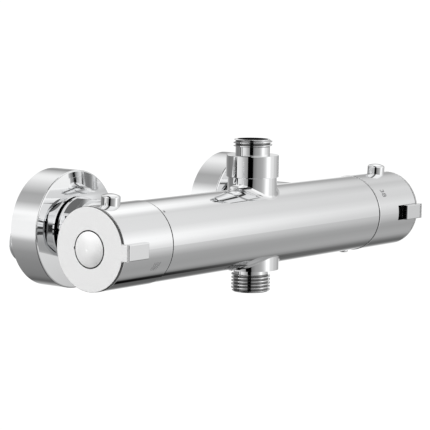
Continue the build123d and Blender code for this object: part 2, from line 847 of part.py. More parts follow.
def flow_hub():
    """Hub with one rib that meets the stop ring at each end of the turn."""
    carrier = hub(1)
    rib_outer = hub_radius - hub_rim_wall / 2
    return carrier + block((tooth_depth, rib_outer), tooth_width, (tooth_start, hub_start + 1))


def handle_sleeve(up_sign):
    """Drawn sleeve with rounded edges and the hole for the grip nub."""
    sleeve = rod(sleeve_radius, handle_gap, sleeve_end)
    sleeve = fillet(sleeve.edges().filter_by(GeomType.CIRCLE), sleeve_edge)
    sleeve -= rod(sleeve_bore, handle_gap, sleeve_end)
    return sleeve - nub_frame(up_sign) * rod(nub_stud_radius, sleeve_bore - 1, sleeve_radius + 1)


def temperature_sleeve():
    """Sleeve with the open slot in which the safety button slides."""
    return handle_sleeve(-1) - block((hub_radius - 2, pad_height), slot_width, (slot_start, handle_end))


def flow_sleeve():
    """Sleeve with a fixed pad cast on its front."""
    pad = block((sleeve_bore + 1, pad_height), pad_width, (flow_pad_start, sleeve_end))
    pad = fillet(pad.edges().group_by(Axis.X)[-1], pad_fillet)
    return handle_sleeve(1) + pad


def grip_nub(up_sign):
    """Domed grip nub with a saddle foot on the sleeve and a stud through its wall."""
    head = domed(nub_radius, sleeve_bore, sleeve_radius + nub_side_height, nub_dome_height)
    head = fillet(head.edges().filter_by(Plane.XY).sort_by(Axis.Z)[-1], nub_edge)
    nub = nub_frame(up_sign) * head - rod(sleeve_radius, handle_gap, sleeve_end)
    return nub + nub_frame(up_sign) * rod(nub_stud_radius, nub_stud_end, sleeve_radius + 1)


def end_disc():
    """Satin end plate with a tab at the front, a middle hole and a snap skirt."""
    disc = rod(end_disc_radius, disc_start, handle_end)
    disc += block((end_disc_hole, pad_height), pad_width, (disc_start, handle_end))
    disc = chamfer(disc.edges().group_by(Axis.Z)[-1], edge_break / 2)
    disc -= rod(end_disc_hole, disc_start, handle_end)
    disc -= Pos(-end_disc_hole, 0, 0) * rod(pry_notch_radius, disc_start, handle_end)
    skirt_start = disc_start - end_disc_skirt_length
    skirt = ring(end_disc_skirt_radius, end_disc_skirt_radius - end_disc_skirt_wall, skirt_start, disc_start)
    skirt -= block((0, hub_radius), button_stem_width + 2 * free_gap, (skirt_start, disc_start))
    return disc + skirt


def screw_cap():
    """Polished domed cap over the handle screw, with a snap skirt."""
    rim_start = disc_start - edge_break
    cap = domed(cap_rim_radius, rim_start, handle_end, cap_dome_height)
    skirt_start = rim_start - cap_skirt_length
    return cap + ring(cap_skirt_outer, cap_skirt_outer - cap_skirt_wall, skirt_start, rim_start)


def handle_screw():
    """Socket screw that holds a hub on its spindle."""
    head_end = hub_web_end + screw_head_height
    screw = rod(screw_head_radius, hub_web_end, head_end)
    screw = chamfer(screw.edges().sort_by(Axis.Z)[-1], edge_break)
    screw += rod(screw_tap_radius - slide_clearance, hub_web_end - screw_length, hub_web_end)
    return screw - hexagon(screw_socket, head_end - screw_socket_depth, head_end)


def safety_button():
    """Sliding button: pad outside the sleeve, stem in its slot, arm and stop tooth inside."""
    pad = block((sleeve_bore, pad_height), pad_width, (pad_start, pad_end))
    pad = fillet(pad.edges().group_by(Axis.X)[-1], pad_fillet)
    pad -= rod(sleeve_radius + fit_clearance, handle_gap, handle_end)
    stem_end = stem_start + button_stem_length
    stem = block((button_stem_depth, sleeve_radius + 1), button_stem_width, (stem_start, stem_end))
    lug_outer = sleeve_bore - button_arm_thickness
    lug = block((button_stem_depth, lug_outer), spring_shelf_width, (spring_lug_start, stem_start))
    arm_outer = sleeve_bore - 2 * free_gap
    arm = block((arm_outer - button_arm_thickness, sleeve_bore), button_arm_width, (tooth_start, stem_start))
    arm &= rod(arm_outer, tooth_start, stem_start)
    tooth_outer = arm_outer - button_arm_thickness / 2
    tooth = block((tooth_depth, tooth_outer), tooth_width, (tooth_start, tooth_start + tooth_length))
    return pad + stem + lug + arm + tooth


def locating_screw():
    """Small domed screw through the mouth's wall onto the cartridge nut."""
    head_end = bar_radius + locating_screw_stand
    screw = rod(locating_screw_radius - slide_clearance, mixing_mouth, bar_radius)
    head = rod(locating_screw_head, bar_radius - locating_screw_stand, head_end)
    head = fillet(head.edges().sort_by(Axis.Z)[-1], locating_screw_stand / 2)
    head -= Rot(0, 90, 0) * Cylinder(bar_radius, 4 * locating_screw_head)
    return screw + head


def add_handle(side, frame, up_sign, sleeve, carrier):
    """Pieces that both handles have."""
    nodes[side + "_sleeve"] = frame * sleeve
    nodes[side + "_hub"] = frame * carrier
    nodes[side + "_nub"] = frame * grip_nub(up_sign)
    nodes[side + "_end_disc"] = frame * end_disc()
    nodes[side + "_screw_cap"] = frame * screw_cap()
    nodes[side + "_handle_screw"] = frame * handle_screw()


def add_inlets():
    """Union, flange, washer and non-return valve at each inlet."""
    spring = coil_spring(
        check_spring_radius, check_spring_wire, check_spider_end, poppet_start, check_spring_turns
    )
    pieces = {
        "inlet_tail": inlet_tail(),
        "union_nut": union_nut(),
        "filter_washer": filter_washer(),
        "eccentric_union": eccentric_union(),
        "wall_flange": wall_flange(),
        "check_housing": check_housing(),
        "check_poppet": check_poppet(),
        "check_spring": spring,
    }
    for name, piece in pieces.items():
        for side, frame in inlet_frames.items():
            nodes[name + "_" + side] = frame * piece


def add_mixing_cartridge():
    """Pieces of the mixing cartridge at the temperature end."""
    nodes["mixing_housing"] = right_end * mixing_housing()
    nodes["mixing_cap"] = right_end * mixing_cap()
    nodes["mixing_spindle"] = right_end * mixing_spindle()
    nodes["mixing_spindle_seal"] = right_end * spindle_seal()
    nodes["adjusting_carriage"] = right_end * adjusting_carriage()
    nodes["wax_element"] = right_end * wax_element()
    nodes["mixing_shuttle"] = right_end * mixing_shuttle()
    nodes["shuttle_seal"] = right_end * round_seal(shuttle_bore, shuttle_seal_section, shuttle_web_middle)
    nodes["return_spring"] = right_end * coil_spring(
        return_spring_radius,
        return_spring_wire,
        cartridge_nose_start + cartridge_nose_lip,
        shuttle_web_start,
        return_spring_turns,
    )
    nodes["nose_seal"] = right_end * round_seal(nose_bore, nose_seal_section, nose_seal_place)
    nodes["middle_seal"] = right_end * round_seal(land_radius, middle_seal_section, middle_seal_place)
    flange_middle = (cartridge_seat + cap_flange_end) / 2
    nodes["cap_seal"] = right_end * round_seal(mixing_mouth, cap_seal_section, flange_middle)
    nodes["mixing_cartridge_nut"] = right_end * cartridge_nut(mixing_mouth)


def add_flow_cartridge():
    """Pieces of the outlet-selecting cartridge at the flow end."""
    nodes["flow_base"] = left_end * flow_base()
    nodes["flow_housing"] = left_end * flow_housing()
    nodes["fixed_ceramic_disc"] = left_end * fixed_disc()
    nodes["moving_ceramic_disc"] = left_end * moving_disc()
    nodes["flow_spindle"] = left_end * flow_spindle()
    nodes["flow_spindle_seal"] = left_end * spindle_seal()
    nodes["flow_base_seal"] = left_end * round_seal(flow_bore, base_seal_section, base_seal_place)
    nodes["flow_housing_seal"] = left_end * round_seal(flow_bore, housing_seal_section, housing_seal_place)
    nodes["flow_cartridge_nut"] = left_end * cartridge_nut(flow_mouth)


def add_stop_rings():
    """Stop rings: the tooth's half width sets how far each raised sector stays from it."""
    tooth_angle = degrees(atan2(tooth_width / 2, tooth_depth)) + degrees(free_gap / tooth_depth)
    hot_side = tooth_angle
    cold_side = 360 - cold_travel - tooth_angle
    nodes["temperature_stop_ring"] = right_end * stop_ring(hot_side, cold_side)
    open_side = flow_travel + tooth_angle
    nodes["flow_stop_ring"] = left_end * stop_ring(open_side, 360 - open_side)


nodes["valve_body"] = valve_body()
nodes["riser_adapter"] = top_side * riser_adapter()
riser_seal_frame = top_side * Pos(0, 0, top_boss_height + adapter_seal_section)
nodes["riser_adapter_seal"] = riser_seal_frame * Torus(adapter_seal_radius, adapter_seal_section)
nodes["hose_nipple"] = bottom_side * hose_nipple()
nodes["locating_screw"] = locating_screw_frame * locating_screw()
add_inlets()
add_mixing_cartridge()
add_flow_cartridge()
add_stop_rings()
add_handle("temperature", right_end, -1, temperature_sleeve(), temperature_hub())
add_handle("flow", left_end, 1, flow_sleeve(), flow_hub())
nodes["safety_button"] = right_end * safety_button()
nodes["button_spring"] = right_end * Pos(button_spring_depth, 0, 0) * coil_spring(
    button_spring_radius,
    button_spring_wire,
    spring_shelf_start + spring_shelf_thickness,
    spring_lug_start,
    button_spring_turns,
)

os.makedirs("parts", exist_ok=True)
for name, piece in nodes.items():
    export_step(piece, "parts/" + name + ".step")
print(len(nodes), "nodes written")
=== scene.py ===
import bpy
import json
from math import degrees, pi, radians
from mathutils import Matrix, Vector


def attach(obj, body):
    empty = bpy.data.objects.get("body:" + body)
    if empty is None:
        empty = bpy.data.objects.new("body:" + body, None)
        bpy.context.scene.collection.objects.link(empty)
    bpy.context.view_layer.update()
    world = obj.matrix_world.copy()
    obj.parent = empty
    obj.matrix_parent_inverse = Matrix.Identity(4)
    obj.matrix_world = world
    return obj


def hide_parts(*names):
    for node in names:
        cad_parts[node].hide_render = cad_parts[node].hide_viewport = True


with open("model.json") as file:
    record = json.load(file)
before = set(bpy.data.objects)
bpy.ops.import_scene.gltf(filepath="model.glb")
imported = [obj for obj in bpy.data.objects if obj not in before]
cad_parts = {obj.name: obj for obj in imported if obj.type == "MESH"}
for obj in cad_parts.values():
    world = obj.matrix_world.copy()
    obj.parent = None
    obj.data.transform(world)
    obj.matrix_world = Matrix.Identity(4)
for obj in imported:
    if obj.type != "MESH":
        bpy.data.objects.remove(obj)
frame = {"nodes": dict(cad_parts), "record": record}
nodes = frame["nodes"]
mounts = {mount["name"]: mount for mount in frame["record"]["mounts"]}
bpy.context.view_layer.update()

# Valve body: one brass casting, turned along the bar, polished by hand and plated with chrome.
# It carries every other piece. The plating is a mirror with a faint haze and long low waves
# from the polishing wheel, and it shows the studio round it.


class Socket:
    """A shader socket, so that node maths can be written as sums and products."""

    def __init__(self, tree, out=None):
        self.tree = tree
        self.out = out

    def node(self, kind, output=0, stops=None, sockets=None, **settings):
        """Adds a node: its settings, then a ramp's stops, then its sockets' values or links."""
        made = self.tree.nodes.new(kind)
        for name, value in settings.items():
            setattr(made, name, value)
        if stops:
            ramp = made.color_ramp.elements
            ramp[0].position, ramp[0].color = stops[0]
            ramp[1].position, ramp[1].color = stops[-1]
            for place, colour in stops[1:-1]:
                ramp.new(place).color = colour
        for name, value in (sockets or {}).items():
            if isinstance(value, Socket):
                self.tree.links.new(value.out, made.inputs[name])
            else:
                made.inputs[name].default_value = value
        return Socket(self.tree, made.outputs[output])

    def other(self, output):
        """Another output of the same node."""
        return Socket(self.tree, self.out.node.outputs[output])

    def maths(self, operation, first, second=0.0):
        return self.node("ShaderNodeMath", operation=operation, sockets={0: first, 1: second})

    def __add__(self, value):
        return self.maths("ADD", self, value)

    def __mul__(self, value):
        return self.maths("MULTIPLY", self, value)

    def __sub__(self, value):
        return self.maths("SUBTRACT", self, value)

    def __rsub__(self, value):
        return self.maths("SUBTRACT", value, self)

    __radd__ = __add__
    __rmul__ = __mul__

    def eased(self, low, high):
        """0 below low, 1 above high and an S curve between."""
        sockets = {"Value": self, "From Min": low, "From Max": high}
        return self.node("ShaderNodeMapRange", interpolation_type="SMOOTHSTEP", sockets=sockets)

    def mixed(self, first, second):
        """The first colour where this is 0 and the second where it is 1."""
        sockets = {0: self, 6: first, 7: second}
        return self.node("ShaderNodeMix", data_type="RGBA", output=2, sockets=sockets)

    def noise(self, scale, detail):
        """Soft noise over this place."""
        sockets = {"Vector": self, "Scale": scale, "Detail": detail}
        return self.node("ShaderNodeTexNoise", sockets=sockets)

    def bump(self, depth):
        """The normals of a surface that this dents to a depth."""
        sockets = {"Strength": 1.0, "Distance": depth, "Height": self}
        return self.node("ShaderNodeBump", sockets=sockets)

    def into(self, socket):
        """Links this to a socket."""
        self.tree.links.new(self.out, socket)


def new_finish(name):
    """A material, its shader and, as a socket, the place on the piece."""
    material = bpy.data.materials.new(name)
    material.use_nodes = True
    place = Socket(material.node_tree).node("ShaderNodeTexCoord", output="Object")
    return material, material.node_tree.nodes["Principled BSDF"], place


def metal(name, colour, roughness, haze, wave_scale, wave_depth, stretch=(1, 1, 1), metallic=1.0):
    """A plain or plated metal: its roughness drifts by haze, and waves of some depth dent it."""
    material, shader, place = new_finish(name)
    shader.inputs["Base Color"].default_value = (*colour, 1)
    shader.inputs["Metallic"].default_value = metallic
    place = place.node("ShaderNodeMapping", sockets={"Vector": place, "Scale": stretch})
    (roughness + haze * place.noise(haze_scale, haze_detail)).into(shader.inputs["Roughness"])
    place.noise(wave_scale, wave_detail).bump(wave_depth).into(shader.inputs["Normal"])
    return material


def coat(piece, material):
    """Gives a piece one finish."""
    piece.data.materials.clear()
    piece.data.materials.append(material)


def dress(material, *names):
    """Gives CAD nodes their finish."""
    for name in names:
        coat(nodes[name], material)


haze_scale = 45.0
haze_detail = 4.0
wave_detail = 2.0
chrome_tone = (0.90, 0.905, 0.91)
bar_height = 0.010
bar_axis = (mounts["riser_outlet"]["pos_m"][1], bar_height)
chrome = metal(
    "chrome_plate", chrome_tone, roughness=0.015, haze=0.03,
    wave_scale=60.0, wave_depth=0.00001,
)
dress(chrome, "valve_body", "locating_screw")

# Wall flanges and union nuts: cups drawn from brass sheet and nuts turned from hexagon bar, all
# plated. The flanges' polish runs in long low waves from front to back.
flange_chrome = metal(
    "flange_chrome", chrome_tone, roughness=0.02, haze=0.04,
    wave_scale=90.0, wave_depth=0.000008, stretch=(1, 0.3, 1),
)
for side in ("left", "right"):
    dress(flange_chrome, "wall_flange_" + side)
    dress(chrome, "union_nut_" + side, "inlet_tail_" + side)

# Threaded pieces: the riser adapter, the hose nipple and both wall unions, turned from brass and
# plated, with half inch pipe thread cut on the lathe. Each stands in for its plain solid, from
# which a helical groove with a round root is cut, and the tool leaves faint rings on it.
thread_pitch = 0.001814
thread_depth = 0.001162
groove_half_width = 0.00066
groove_sides = 14
groove_steps = 64
# Painted shade: the grey that the thread grooves are darkened to.
groove_shade_tone = (0.30, 0.30, 0.30)
groove_root = 0.9
groove_shoulder = 0.35
groove_end = 0.0004
ring_scale = 900.0
ring_depth = 0.000006
ring_stretch = 0.03
weld_distance = 0.000002
sharp_angle = 32
riser_half_length = 0.0019
riser_start = 0.0030
riser_turns = 4
hose_half_length = 0.0047
hose_start = 0.0065
hose_turns = 6
tail_start = 0.0105
tail_turns = 14
towards_wall = -pi / 2


def pick(piece):
    """Makes a piece the only one selected, and the active one."""
    bpy.ops.object.select_all(action="DESELECT")
    piece.select_set(True)
    bpy.context.view_layer.objects.active = piece


def thread_groove(radius, turns):
    """A helical cutter about Z, rising from the origin, its section centred on the crests."""
    bpy.ops.object.select_all(action="DESELECT")
    bpy.ops.mesh.primitive_circle_add(
        vertices=groove_sides, radius=1, location=(0, 0, 0), rotation=(pi / 2, 0, 0)
    )
    cutter = bpy.context.object
    bpy.ops.object.transform_apply()
    bpy.ops.object.mode_set(mode="EDIT")
    bpy.ops.transform.resize(value=(thread_depth, 1, groove_half_width), center_override=(0, 0, 0))
    bpy.ops.transform.translate(value=(radius, 0, 0))
    bpy.ops.object.mode_set(mode="OBJECT")
    screw = cutter.modifiers.new("helix", "SCREW")
    screw.axis = "Z"
    screw.angle = 2 * pi
    screw.screw_offset = thread_pitch
    screw.iterations = turns
    screw.steps = groove_steps
    screw.render_steps = groove_steps
    bpy.ops.object.modifier_apply(modifier="helix")
    bpy.ops.object.mode_set(mode="EDIT")
    bpy.ops.mesh.select_all(action="SELECT")
    bpy.ops.mesh.fill_holes(sides=0)
    bpy.ops.mesh.select_all(action="SELECT")
    bpy.ops.mesh.normals_make_consistent(inside=False)
    bpy.ops.object.mode_set(mode="OBJECT")
    return cutter


def threaded(node, mount, start, turns, axis_turn):
    """A merged copy of a node, with the groove cut from start along Z turned about X."""
    crest_radius = mounts[mount]["dims"]["r_mm"] / 1000
    cutter = thread_groove(crest_radius, turns)
    cutter.rotation_euler = (axis_turn, 0, 0)
    cutter.location = start
    bpy.ops.object.transform_apply()
    piece = bpy.data.objects.new(node + "_threaded", nodes[node].data.copy())
    piece.matrix_world = nodes[node].matrix_world
    bpy.context.scene.collection.objects.link(piece)
    pick(piece)
    bpy.ops.object.transform_apply()
    bpy.ops.object.mode_set(mode="EDIT")
    bpy.ops.mesh.select_all(action="SELECT")
    bpy.ops.mesh.remove_doubles(threshold=weld_distance)
    bpy.ops.mesh.customdata_custom_splitnormals_clear()
    bpy.ops.object.mode_set(mode="OBJECT")
    cut = piece.modifiers.new("groove", "BOOLEAN")
    cut.operation = "DIFFERENCE"
    cut.solver = "EXACT"
    cut.object = cutter
    bpy.ops.object.modifier_apply(modifier="groove")
    bpy.ops.object.shade_smooth_by_angle(angle=radians(sharp_angle))
    bpy.data.objects.remove(cutter)
    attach(piece, "valve")
    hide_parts(node)
    return piece


def cut_chrome(name, mount, first, last):
    """Turned chrome about a mount's upright axis, with painted shade darkening its colour in the
    thread grooves between two heights.
    """
    material = metal(
        name, chrome_tone, roughness=0.02, haze=0.03,
        wave_scale=ring_scale, wave_depth=ring_depth, stretch=(ring_stretch, ring_stretch, 1),
    )
    tree = material.node_tree
    start = Socket(tree)
    place = start.node("ShaderNodeTexCoord", output="Object")
    place = start.node("ShaderNodeSeparateXYZ", sockets={"Vector": place})
    across = place - mounts[mount]["pos_m"][0]
    inward = place.other("Y") - mounts[mount]["pos_m"][1]
    up = place.other("Z")
    radius = start.maths("SQRT", across * across + inward * inward)
    crest = mounts[mount]["dims"]["r_mm"] / 1000
    # Painted shade: the colour darkens to grey from the shoulders down to the thread roots, over
    # the threaded length.
    root = crest - groove_root * thread_depth
    shoulder = crest - groove_shoulder * thread_depth
    cut = up.eased(first, first + groove_end) - up.eased(last - groove_end, last)
    groove = (1 - radius.eased(root, shoulder)) * cut
    tone = groove.mixed((*chrome_tone, 1), (*groove_shade_tone, 1))
    tone.into(tree.nodes["Principled BSDF"].inputs["Base Color"])
    return material


for node, mount, finish, half_length, below, turns in (
    ("riser_adapter", "riser_outlet", "riser_chrome", riser_half_length, riser_start, riser_turns),
    ("hose_nipple", "hose_outlet", "nipple_chrome", hose_half_length, hose_start, hose_turns),
):
    middle = Vector(mounts[mount]["pos_m"])
    outlet = threaded(node, mount, middle - Vector((0, 0, below)), turns, 0)
    cut_finish = cut_chrome(finish, mount, middle.z - half_length, middle.z + half_length)
    coat(outlet, cut_finish)
level_chrome = metal(
    "turned_union_chrome", chrome_tone, roughness=0.05, haze=0.05,
    wave_scale=ring_scale, wave_depth=ring_depth,
    stretch=(ring_stretch, 1, ring_stretch),
)
for side in ("left", "right"):
    mount = side + "_wall_tail"
    start = Vector(mounts[mount]["pos_m"]) - Vector((0, tail_start, 0))
    union = threaded("eccentric_union_" + side, mount, start, tail_turns, towards_wall)
    coat(union, level_chrome)

# Unplated brass: machined parts that the water runs through, and both spindles. The wax element
# is drawn from a copper alloy, which is redder.
brass = metal(
    "machined_brass", (0.71, 0.53, 0.27), roughness=0.22, haze=0.12,
    wave_scale=500.0, wave_depth=0.00002,
)
dress(brass, "mixing_cap", "mixing_spindle", "adjusting_carriage", "mixing_cartridge_nut")
dress(brass, "flow_housing", "flow_spindle", "flow_cartridge_nut")
copper = metal(
    "drawn_copper_alloy", (0.72, 0.42, 0.28), roughness=0.25, haze=0.1,
    wave_scale=500.0, wave_depth=0.00002,
)
dress(copper, "wax_element")

# Screws and springs: stainless steel, cold headed or drawn and coiled, with the fine grain
# that the die leaves. They are hidden in the handles and cartridges.
steel = metal(
    "stainless_steel", (0.60, 0.60, 0.61), roughness=0.2, haze=0.15,
    wave_scale=900.0, wave_depth=0.00001,
)
dress(steel, "temperature_handle_screw", "flow_handle_screw", "button_spring", "return_spring")
dress(steel, "check_spring_left", "check_spring_right")

# Plastic mouldings inside: cartridge bodies, hubs, stop rings and the non-return valves. The
# dark ones show in the slot of the safety button and in the seams beside the handles.
grain_detail = 3.0
grain_low = 0.3
grain_high = 0.7


def moulding(name, colour, light, roughness, grain_scale, grain_depth):
    """A moulded or pressed material: two close tones and a fine grain."""
    material, shader, place = new_finish(name)
    shader.inputs["Roughness"].default_value = roughness
    grain = place.noise(grain_scale, grain_detail)
    stops = [(grain_low, (*colour, 1)), (grain_high, (*light, 1))]
    tone = grain.node("ShaderNodeValToRGB", stops=stops, sockets={"Fac": grain})
    tone.into(shader.inputs["Base Color"])
    grain.bump(grain_depth).into(shader.inputs["Normal"])
    return material


dark_plastic = moulding(
    "dark_plastic", (0.018, 0.019, 0.021), light=(0.026, 0.027, 0.030),
    roughness=0.45, grain_scale=700.0, grain_depth=0.00002,
)
dress(dark_plastic, "mixing_housing", "mixing_shuttle", "flow_base", "temperature_stop_ring")
dress(dark_plastic, "flow_stop_ring", "temperature_hub", "flow_hub")
white_plastic = moulding(
    "white_plastic", (0.72, 0.72, 0.70), light=(0.78, 0.78, 0.76),
    roughness=0.4, grain_scale=700.0, grain_depth=0.00002,
)
for side in ("left", "right"):
    dress(white_plastic, "check_housing_" + side, "check_poppet_" + side)

# Rubber rings and washers, moulded black, pressed between the pieces that they seal. Only the
# edge of one shows, between the top boss and the riser adapter.
rubber = moulding(
    "black_rubber", (0.010, 0.010, 0.010), light=(0.018, 0.018, 0.018),
    roughness=0.6, grain_scale=900.0, grain_depth=0.00003,
)
dress(rubber, "riser_adapter_seal", "filter_washer_left", "filter_washer_right")
dress(rubber, "mixing_spindle_seal", "shuttle_seal", "nose_seal", "middle_seal", "cap_seal")
dress(rubber, "flow_spindle_seal", "flow_base_seal", "flow_housing_seal")

# Ceramic discs of the outlet selector, pressed, fired and lapped flat, so that they seal face
# to face. They are hidden in the flow cartridge.
ceramic = moulding(
    "lapped_ceramic", (0.80, 0.79, 0.74), light=(0.84, 0.83, 0.78),
    roughness=0.12, grain_scale=1200.0, grain_depth=0.000004,
)
dress(ceramic, "fixed_ceramic_disc", "moving_ceramic_disc")

# Handles: drawn sleeves, turned nubs and a cast button, all bright. The end discs are blasted
# before plating, which leaves them satin, and the domed caps over the screws are half bright.
handle_chrome = metal(
    "handle_chrome", chrome_tone, roughness=0.02, haze=0.03,
    wave_scale=70.0, wave_depth=0.000008, stretch=(0.4, 1, 1),
)
satin = metal(
    "satin_chrome", (0.89, 0.89, 0.89), roughness=0.36, haze=0.06,
    wave_scale=2500.0, wave_depth=0.000006, metallic=0.35,
)
pearl = metal(
    "pearl_chrome", (0.93, 0.93, 0.93), roughness=0.30, haze=0.05,
    wave_scale=1500.0, wave_depth=0.000002, metallic=0.35,
)
blend_width = 0.00008
# Painted shade: the dark tones for the gaps round the handles' caps, discs and sleeves.
shade_tone = 0.02
rim_shade_tone = 0.10
cap_hole_radius = 0.00955
cap_edge_radius = 0.00893
sleeve_inner_radius = 0.02085
disc_rim_radius = 0.02103
tab_front = -0.0207
beyond_handle = 0.03


def so_far(tree, socket):
    """What a socket reads now: its link, or else its value."""
    if socket.is_linked:
        return Socket(tree, socket.links[0].from_socket)
    return socket.default_value


def paint_shade_between(material, inside, outside, tone, front=-1.0):
    """Paints shade into a finish between two radii about the handles' axis, behind a front plane:
    the colour turns to a dark tone there, and the metal stops being metallic.
    """
    tree = material.node_tree
    shader = tree.nodes["Principled BSDF"]
    start = Socket(tree)
    place = start.node("ShaderNodeTexCoord", output="Object")
    place = start.node("ShaderNodeSeparateXYZ", sockets={"Vector": place})
    across = place.other("Y") - bar_axis[0]
    up = place.other("Z") - bar_axis[1]
    radius = start.maths("SQRT", across * across + up * up)
    # Painted shade mask: 1 between the two radii, behind the front plane.
    painted_shade = radius.eased(inside - blend_width, inside)
    painted_shade = painted_shade - radius.eased(outside, outside + blend_width)
    painted_shade = painted_shade * across.eased(front, front + blend_width)
    colour = shader.inputs["Base Color"]
    painted_shade.mixed(so_far(tree, colour), (tone, tone, tone, 1)).into(colour)
    metallic = shader.inputs["Metallic"]
    ((1 - painted_shade) * so_far(tree, metallic)).into(metallic)


# Painted shade on the handles: the satin discs turn dark inside the caps' holes, the flow disc
# also beyond its rim behind the tab, the domed caps beyond their edges, and the bright handle
# pieces inside the sleeves' bore, for the gaps round caps and discs and the button's slot.
paint_shade_between(satin, 0, cap_hole_radius, shade_tone)
shaded_rim_satin = satin.copy()
paint_shade_between(shaded_rim_satin, disc_rim_radius, beyond_handle, rim_shade_tone, front=tab_front)
paint_shade_between(pearl, cap_edge_radius, beyond_handle, shade_tone)
paint_shade_between(handle_chrome, 0, sleeve_inner_radius, shade_tone)
for side in ("flow", "temperature"):
    dress(handle_chrome, side + "_sleeve", side + "_nub")
    dress(pearl, side + "_screw_cap")
dress(satin, "temperature_end_disc")
dress(shaded_rim_satin, "flow_end_disc")
dress(handle_chrome, "safety_button")

# Marks: a figure, strokes and a dot, printed grey on the sleeves and the bar, 0.1 mm thick. The
# figure is the bath temperature, in degrees, at which the safety button stops the turn.
printed = moulding(
    "printed_mark", (0.46, 0.46, 0.47), light=(0.54, 0.54, 0.55),
    roughness=0.5, grain_scale=3000.0, grain_depth=0.000002,
)
mark_stand_off = 0.03
mark_lift = 0.00006
mark_thickness = 0.00010
mark_cuts = 3
figure_size = 0.0052
dot_radius = 0.0007
dot_sides = 24
stroke_width = 0.00045
stroke_length = 0.0050
stroke_places = (-0.1072, -0.1058, -0.1044, -0.1030)


def print_mark(piece, carrier, body, along, elevation, turn):
    """Wraps a flat mark, drawn in XY about the origin, on its carrier, and lets it ride."""
    tilt = Matrix.Rotation(radians(90 - elevation), 4, "X")
    outward = tilt @ Matrix.Translation((0, 0, mark_stand_off))
    spin = Matrix.Rotation(radians(turn), 4, "Z")
    piece.matrix_world = Matrix.Translation((along, *bar_axis)) @ outward @ spin
    pick(piece)
    bpy.ops.object.mode_set(mode="EDIT")
    bpy.ops.mesh.select_all(action="SELECT")
    bpy.ops.mesh.quads_convert_to_tris()
    bpy.ops.mesh.subdivide(number_cuts=mark_cuts)
    bpy.ops.object.mode_set(mode="OBJECT")
    wrap = piece.modifiers.new("wrap", "SHRINKWRAP")
    wrap.target = nodes[carrier]
    wrap.wrap_method = "PROJECT"
    wrap.use_project_z = True
    wrap.use_negative_direction = True
    wrap.use_positive_direction = False
    wrap.offset = mark_lift
    film = piece.modifiers.new("film", "SOLIDIFY")
    film.thickness = mark_thickness
    bpy.ops.object.modifier_apply(modifier="wrap")
    bpy.ops.object.modifier_apply(modifier="film")
    bpy.ops.object.transform_apply()
    coat(piece, printed)
    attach(piece, body)


bpy.ops.object.select_all(action="DESELECT")
bpy.ops.object.text_add(location=(0, 0, 0))
figure = bpy.context.object
figure.data.body = "38"
figure.data.size = figure_size
figure.data.align_x = "CENTER"
figure.data.align_y = "CENTER"
bpy.ops.object.convert(target="MESH")
figure = bpy.context.object
figure.name = "temperature_figure"
print_mark(
    figure, "temperature_sleeve", "temperature_handle", along=0.1016, elevation=34.5, turn=-90
)
bpy.ops.object.select_all(action="DESELECT")
bpy.ops.mesh.primitive_circle_add(
    vertices=dot_sides, radius=dot_radius, fill_type="NGON", location=(0, 0, 0)
)
dot = bpy.context.object
dot.name = "flow_index_dot"
print_mark(dot, "valve_body", "valve", along=-0.0912, elevation=51.6, turn=0)
for count, along in enumerate(stroke_places):
    bpy.ops.object.select_all(action="DESELECT")
    bpy.ops.mesh.primitive_plane_add(size=1, location=(0, 0, 0))
    stroke = bpy.context.object
    stroke.name = "flow_handle_stroke_" + str(count)
    stroke.scale = (stroke_width, stroke_length, 1)
    bpy.ops.object.transform_apply()
    print_mark(stroke, "flow_sleeve", "flow_handle", along, elevation=-26.0, turn=-25)

# Floor: a wide pale sheet well below the valve, matt, which the plating doesn't mirror. The
# camera sees it as plain white, as the photographer's table is.
floor_drop = 0.30
floor_size = 60.0
floor_tone = (0.8, 0.8, 0.8, 1)
floor_glow = 1.05
bpy.ops.object.select_all(action="DESELECT")
bpy.ops.mesh.primitive_plane_add(size=floor_size, location=(0, 0, -floor_drop))
floor = bpy.context.object
floor.name = "studio_floor"
floor.visible_glossy = False
pale = bpy.data.materials.new("pale_floor")
pale.use_nodes = True
tree = pale.node_tree
tree.nodes.remove(tree.nodes["Principled BSDF"])
start = Socket(tree)
seen = start.node("ShaderNodeLightPath", output="Is Camera Ray")
matt = start.node("ShaderNodeBsdfDiffuse", sockets={"Color": floor_tone})
glow = start.node("ShaderNodeEmission", sockets={"Color": (1, 1, 1, 1), "Strength": floor_glow})
either = start.node("ShaderNodeMixShader", sockets={0: seen, 1: matt, 2: glow})
either.into(tree.nodes["Material Output"].inputs["Surface"])
floor.data.materials.append(pale)

# Studio: long soft boxes hang along the bar in a grey room, with one dim card and one dark beam
# in front of it. Only mirrors see them: the camera sees plain white. Angles are in degrees,
# tones are as they look on a screen, and edges are lengths along a unit vector from the valve.
screen_gamma = 2.2
plating_share = 0.88


def lit(tone):
    """The light that looks like a tone on the screen once the plating has reflected it."""
    light = tone**screen_gamma / plating_share
    return (light, light, light, 1)


def tone_ramp(angle, tones):
    """A ramp over a whole turn, from angles and tones."""
    stops = [((place + 180) / 360, lit(tone)) for place, tone in tones]
    share = (angle + 180) * (1 / 360)
    return angle.node("ShaderNodeValToRGB", stops=stops, sockets={"Fac": share})


def within(value, rise, fall):
    """1 between two soft edges of a value, and 0 outside them."""
    return value.eased(*rise) - value.eased(*fall)


